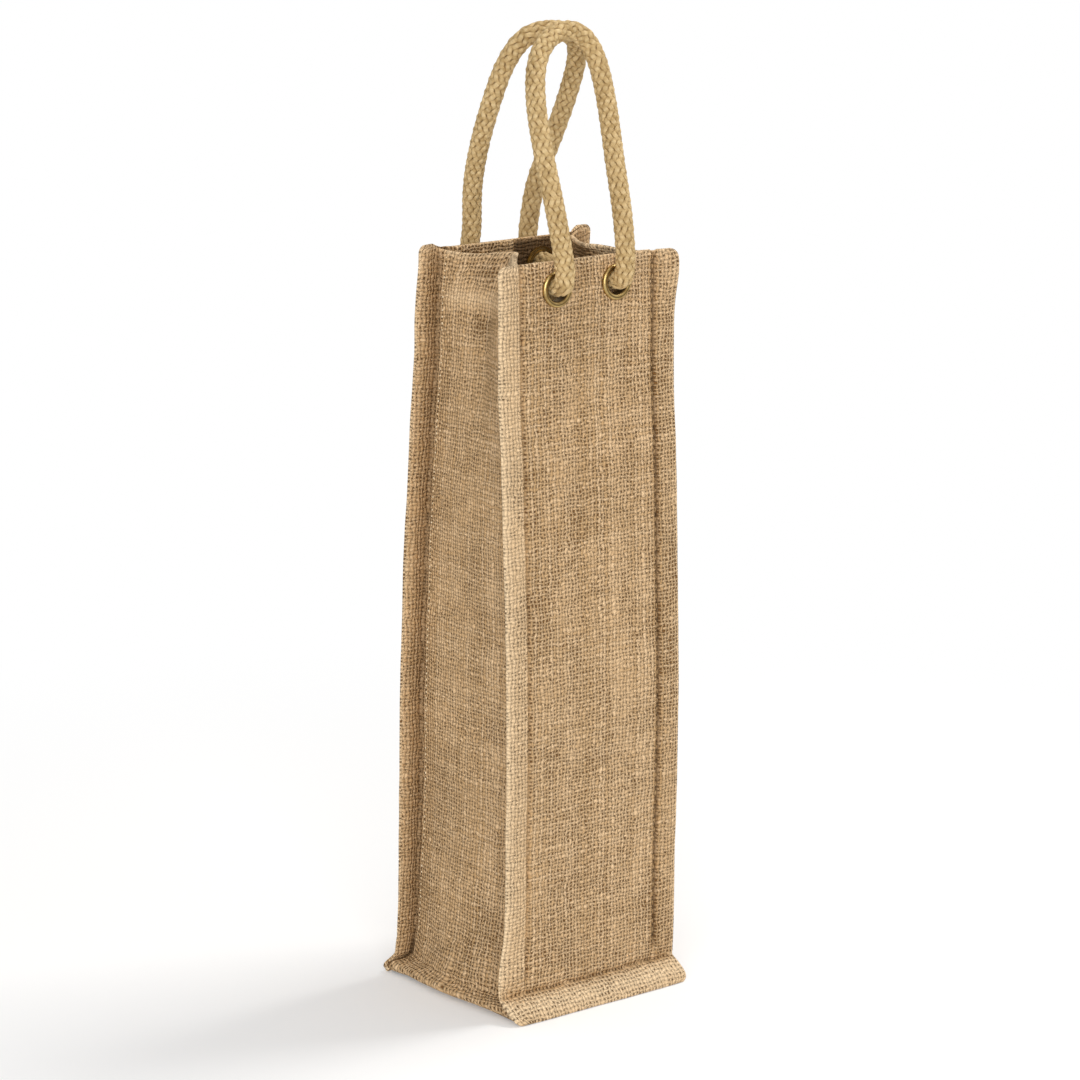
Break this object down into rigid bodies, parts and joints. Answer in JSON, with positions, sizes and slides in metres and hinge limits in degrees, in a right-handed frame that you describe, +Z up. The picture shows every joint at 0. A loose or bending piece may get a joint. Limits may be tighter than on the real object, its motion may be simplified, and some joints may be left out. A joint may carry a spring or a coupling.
{
  "type": "bottle carrier",
  "caption": "Tall jute bag that carries a single wine bottle upright, with pinched top-stitched seams, a folded mouth, brass eyelets and plaited rope handles.",
  "frame": {"origin": "middle of the base, on the surface that the carrier stands on", "axes": "+Z up, +Y from the front panel to the back panel, +X to the right as seen from the front"},
  "size_m": [0.104, 0.1026, 0.4609],
  "materials": {
    "jute": "coarse plain-woven jute, matt",
    "brass": "rolled brass, lightly worn",
    "rope": "plaited jute rope, matt"
  },
  "bodies": {
    "bag": {"front_panel": "jute", "back_panel": "jute", "left_gusset": "jute", "right_gusset": "jute", "base_panel": "jute", "front_left_eyelet": "brass", "front_left_washer": "brass", "front_right_eyelet": "brass", "front_right_washer": "brass", "back_left_eyelet": "brass", "back_left_washer": "brass", "back_right_eyelet": "brass", "back_right_washer": "brass", "front_left_rope_end": "rope", "front_left_knot": "rope", "front_right_rope_end": "rope", "front_right_knot": "rope", "back_left_rope_end": "rope", "back_left_knot": "rope", "back_right_rope_end": "rope", "back_right_knot": "rope"},
    "front_handle": {"front_handle_rope": "rope"},
    "back_handle": {"back_handle_rope": "rope"}
  },
  "joints": [
    {"name": "front_handle_swing", "type": "hinge", "parent": "bag", "child": "front_handle", "pos_m": [-0.0009, -0.03783, 0.343], "axis": [1, 0, 0], "range_deg": [0, 170]},
    {"name": "back_handle_swing", "type": "hinge", "parent": "bag", "child": "back_handle", "pos_m": [0.00172, 0.03783, 0.343], "axis": [-1, 0, 0], "range_deg": [0, 170]}
  ]
}
